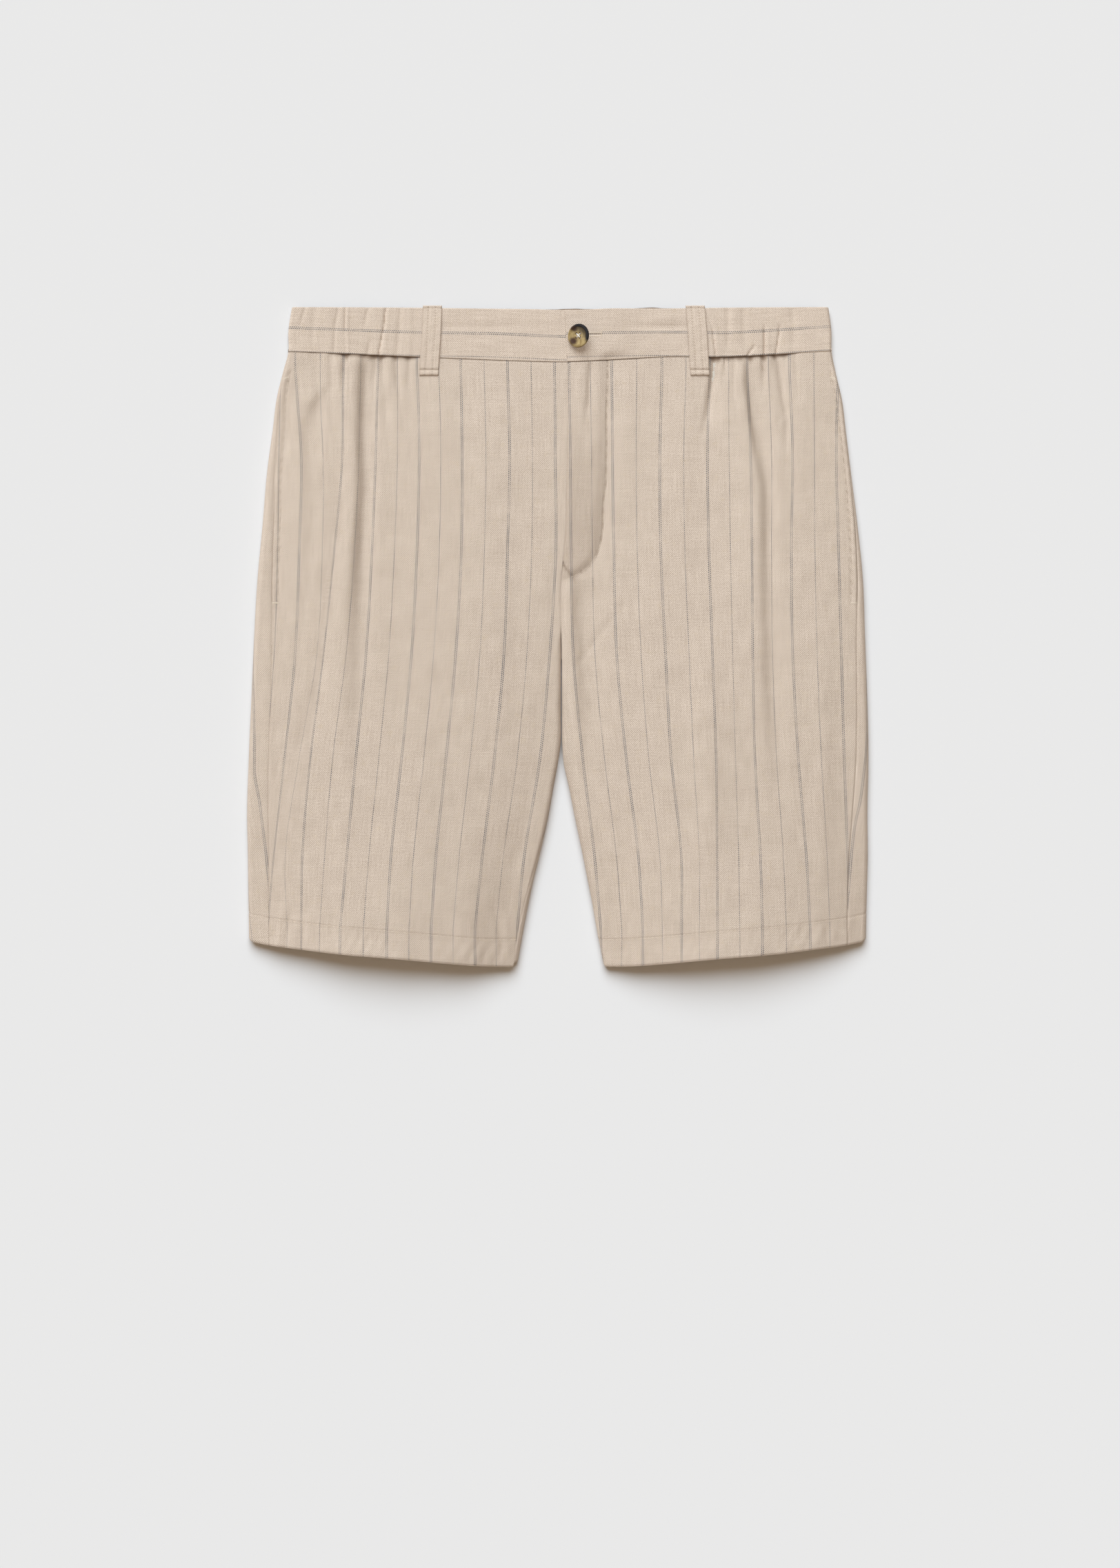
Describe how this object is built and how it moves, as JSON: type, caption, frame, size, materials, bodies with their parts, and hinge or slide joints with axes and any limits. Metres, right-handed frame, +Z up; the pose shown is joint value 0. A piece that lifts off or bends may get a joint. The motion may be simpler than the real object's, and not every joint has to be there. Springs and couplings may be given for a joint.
{
  "type": "bermuda shorts",
  "caption": "Knee-length shorts laid flat, front up: half-elasticated waistband with belt loops, buttoned fly, side-seam pockets and turned hems, in striped twill.",
  "frame": {"origin": "centre of the bounding box in X and Y, on the surface that the shorts lie on", "axes": "+X towards the wearer's left, +Y up to the waist, +Z up from the surface, out of the front of the shorts"},
  "size_m": [0.4872, 0.5174, 0.0251],
  "materials": {
    "striped_twill": "linen and cotton twill, matt, woven with alternating double and single dotted slate stripes 18.5 mm apart",
    "waistband_twill": "the same twill cut crosswise, so that its stripes run along the band",
    "loop_twill": "the same twill between its stripes, topstitched along both edges",
    "pocketing": "plain matt cotton pocketing",
    "horn": "polished horn-like polyester, mottled amber, brown and slate grey",
    "thread": "beige sewing thread"
  },
  "bodies": {
    "root": {"front_right_hip": "striped_twill", "front_right_leg": "striped_twill", "front_left_hip": "striped_twill", "front_left_leg": "striped_twill", "back_right_hip": "striped_twill", "back_right_leg": "striped_twill", "back_left_hip": "striped_twill", "back_left_leg": "striped_twill", "waistband_front_right": "waistband_twill", "waistband_front_left": "waistband_twill", "waistband_back": "waistband_twill", "belt_loop_front_right": "loop_twill", "belt_loop_front_left": "loop_twill", "belt_loop_back_right": "loop_twill", "belt_loop_back_centre": "loop_twill", "belt_loop_back_left": "loop_twill", "pocket_right": "pocketing", "pocket_left": "pocketing", "button": "horn"}
  },
  "joints": []
}
